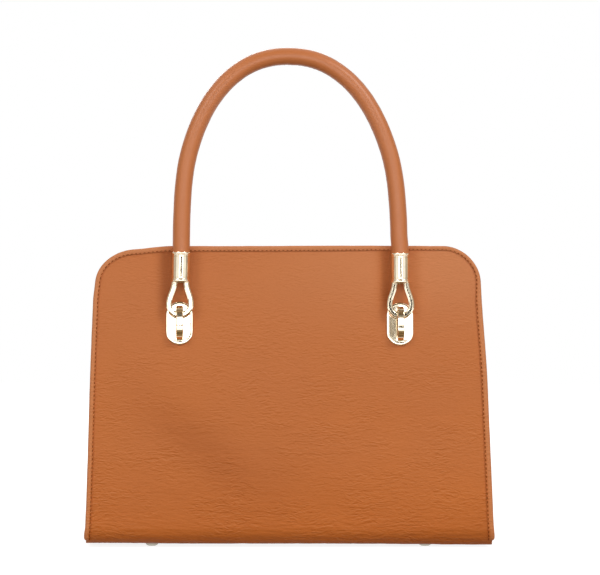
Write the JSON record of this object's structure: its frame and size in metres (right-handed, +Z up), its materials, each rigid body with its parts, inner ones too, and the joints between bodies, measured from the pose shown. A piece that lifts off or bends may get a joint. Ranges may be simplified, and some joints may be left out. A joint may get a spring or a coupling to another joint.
{
  "type": "tote bag",
  "caption": "Structured leather tote bag with leaning panels, folding sides, an open mouth with a magnetic snap, a zipped inner pocket, metal feet and rolled handles on drop links",
  "frame": {"origin": "centre of the base panel's underside", "axes": "+Z up, +X to the right seen from the front, -Y out of the front face"},
  "size_m": [0.32, 0.2183, 0.3925],
  "materials": {
    "tan_leather": "fine pebble grain, semi-matt",
    "stiffener_board": "matt",
    "lining_fabric": "woven, matt",
    "rope_core": "twisted cotton, matt",
    "pale_gold_metal": "polished pale gold plate",
    "steel": "zinc plated"
  },
  "bodies": {
    "bag": {"base_board": "stiffener_board", "base_panel": "tan_leather", "foot_front_left": "pale_gold_metal", "foot_front_right": "pale_gold_metal", "foot_rear_left": "pale_gold_metal", "foot_rear_right": "pale_gold_metal", "front_binding": "tan_leather", "front_board": "stiffener_board", "front_facing": "tan_leather", "front_left_backing_plate": "steel", "front_left_bail": "pale_gold_metal", "front_left_plate": "pale_gold_metal", "front_left_screw_lower": "steel", "front_left_screw_upper": "steel", "front_panel": "tan_leather", "front_right_backing_plate": "steel", "front_right_bail": "pale_gold_metal", "front_right_plate": "pale_gold_metal", "front_right_screw_lower": "steel", "front_right_screw_upper": "steel", "left_gusset": "tan_leather", "lining": "lining_fabric", "pocket_pouch": "lining_fabric", "rear_binding": "tan_leather", "rear_board": "stiffener_board", "rear_facing": "tan_leather", "rear_left_backing_plate": "steel", "rear_left_bail": "pale_gold_metal", "rear_left_plate": "pale_gold_metal", "rear_left_screw_lower": "steel", "rear_left_screw_upper": "steel", "rear_panel": "tan_leather", "rear_right_backing_plate": "steel", "rear_right_bail": "pale_gold_metal", "rear_right_plate": "pale_gold_metal", "rear_right_screw_lower": "steel", "rear_right_screw_upper": "steel", "right_gusset": "tan_leather", "snap_socket": "pale_gold_metal", "snap_stud": "pale_gold_metal", "zip_chain": "pale_gold_metal", "zip_welt": "tan_leather"},
    "front_handle": {"front_handle_cover": "tan_leather", "front_handle_core": "rope_core", "front_left_ferrule": "pale_gold_metal", "front_right_ferrule": "pale_gold_metal", "front_left_link": "pale_gold_metal", "front_right_link": "pale_gold_metal"},
    "rear_handle": {"rear_handle_cover": "tan_leather", "rear_handle_core": "rope_core", "rear_left_ferrule": "pale_gold_metal", "rear_right_ferrule": "pale_gold_metal", "rear_left_link": "pale_gold_metal", "rear_right_link": "pale_gold_metal"},
    "zip_slider": {"zip_slider": "pale_gold_metal"},
    "zip_pull": {"zip_pull": "pale_gold_metal"}
  },
  "joints": [
    {"name": "front_handle_swing", "type": "hinge", "parent": "bag", "child": "front_handle", "pos_m": [0, -0.04441, 0.17826], "axis": [1, 0, 0], "range_deg": [0, 174]},
    {"name": "rear_handle_swing", "type": "hinge", "parent": "bag", "child": "rear_handle", "pos_m": [0, 0.04441, 0.17826], "axis": [1, 0, 0], "range_deg": [-21.7, 152.2]},
    {"name": "zip_slide", "type": "slide", "parent": "bag", "child": "zip_slider", "axis": [1, 0, 0], "range_m": [0, 0.132]},
    {"name": "zip_pull_swing", "type": "hinge", "parent": "zip_slider", "child": "zip_pull", "pos_m": [-0.066, 0.02867, 0.15455], "axis": [-1, 0, 0], "range_deg": [-15, 160]}
  ]
}
